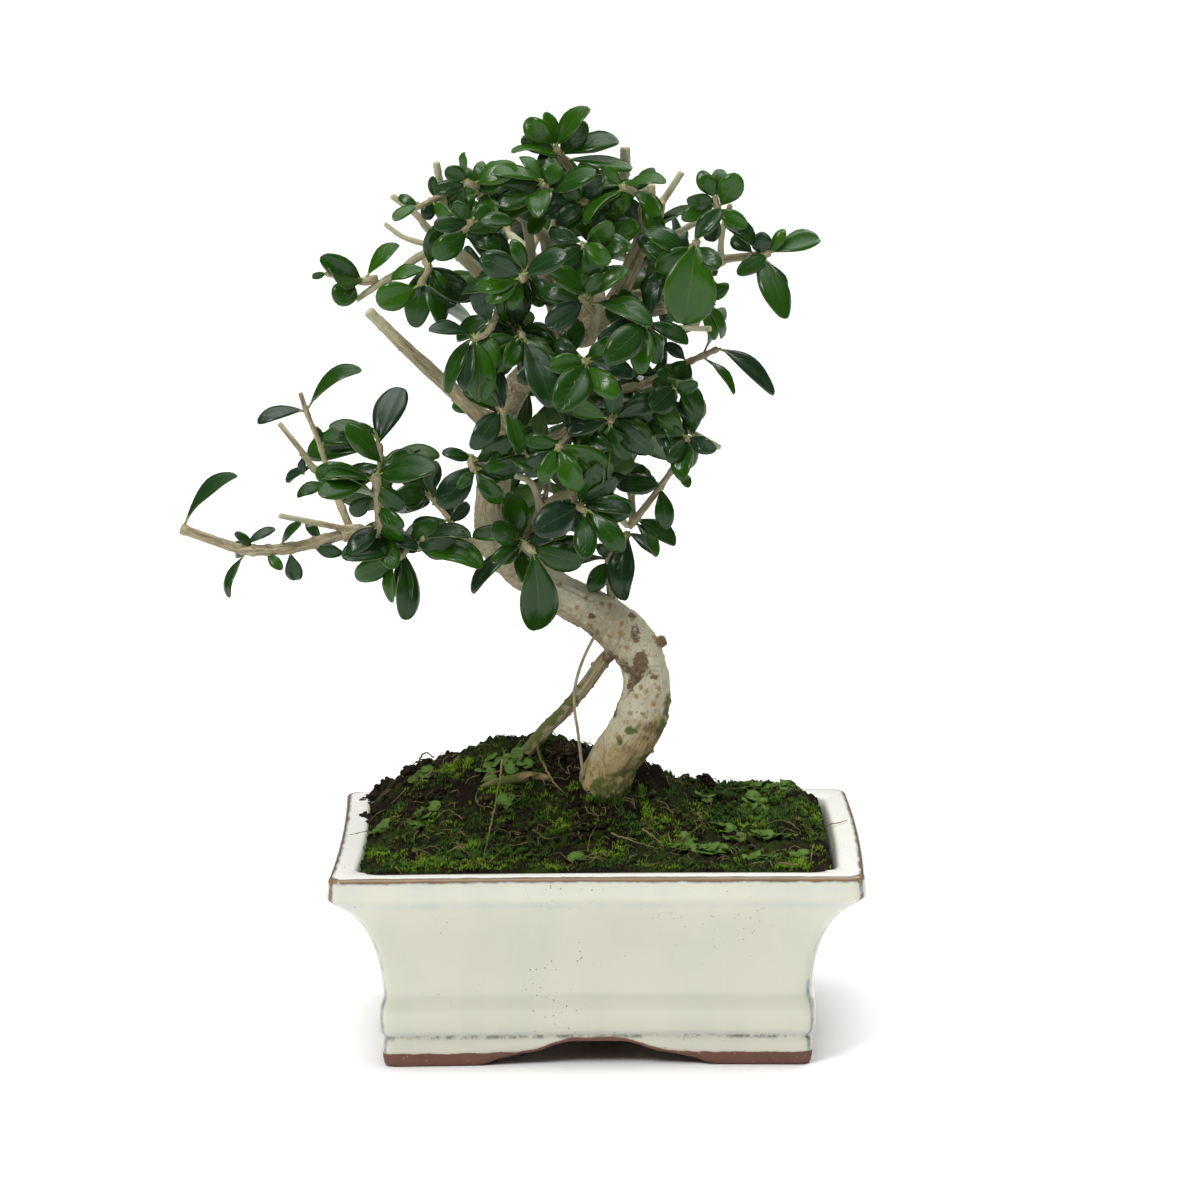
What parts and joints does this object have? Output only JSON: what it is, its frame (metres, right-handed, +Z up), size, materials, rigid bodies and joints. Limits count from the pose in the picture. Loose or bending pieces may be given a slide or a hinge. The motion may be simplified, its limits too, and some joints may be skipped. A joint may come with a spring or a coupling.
{
  "type": "potted olive bonsai",
  "caption": "Small gnarled olive tree with leafy sprays on cut-back limbs, standing in soil in a shallow flared rectangular glazed ceramic pot on corner feet.",
  "frame": {"origin": "centre of the whole plant's bounding box, at the floor under the pot's feet", "axes": "+Z up, longest; +X to the right seen from the front, along the pot's long side; +Y to the back, the shortest extent"},
  "size_m": [0.2344, 0.1488, 0.3232],
  "materials": {
    "pot": "ivory crackle-free gloss glaze with bluish-grey pooling, brown worn arrises and an unglazed red-brown clay foot",
    "screen": "black moulded mesh",
    "soil": "dark damp crumbly soil with patches of moss and liverwort",
    "bark": "smooth pale grey-cream bark with tan pores and brown scars",
    "leaf": "living leaf blades, dark green and waxy, paler below"
  },
  "bodies": {
    "root": {"drain_screen_left": "screen", "drain_screen_right": "screen", "pot": "pot", "soil": "soil", "spray_big_leaf": "leaf", "spray_centre_left": "leaf", "spray_crown_front": "leaf", "spray_cut_leaves": "leaf", "spray_deep_01": "leaf", "spray_deep_02": "leaf", "spray_deep_03": "leaf", "spray_deep_04": "leaf", "spray_deep_05": "leaf", "spray_deep_06": "leaf", "spray_deep_07": "leaf", "spray_deep_08": "leaf", "spray_deep_09": "leaf", "spray_deep_10": "leaf", "spray_deep_11": "leaf", "spray_deep_12": "leaf", "spray_deep_13": "leaf", "spray_deep_14": "leaf", "spray_deep_15": "leaf", "spray_deep_16": "leaf", "spray_deep_17": "leaf", "spray_far_left": "leaf", "spray_hang_left": "leaf", "spray_hang_mid": "leaf", "spray_inner_front": "leaf", "spray_knob_leaves": "leaf", "spray_left_crown": "leaf", "spray_left_hang": "leaf", "spray_left_inner": "leaf", "spray_left_low": "leaf", "spray_left_rise": "leaf", "spray_left_rosette": "leaf", "spray_left_spikes": "leaf", "spray_left_tip": "leaf", "spray_left_top": "leaf", "spray_low_centre": "leaf", "spray_low_left_in": "leaf", "spray_low_right": "leaf", "spray_middle_low": "leaf", "spray_middle_right": "leaf", "spray_right_cut": "leaf", "spray_right_hang": "leaf", "spray_right_low": "leaf", "spray_right_mid": "leaf", "spray_right_tip": "leaf", "spray_right_top": "leaf", "spray_rosette_left": "leaf", "spray_top_inner": "leaf", "spray_top_left": "leaf", "spray_top_middle": "leaf", "spray_top_right": "leaf", "spray_top_rosette": "leaf", "spray_trunk_front": "leaf", "spray_trunk_top": "leaf", "trunk": "bark"}
  },
  "joints": []
}
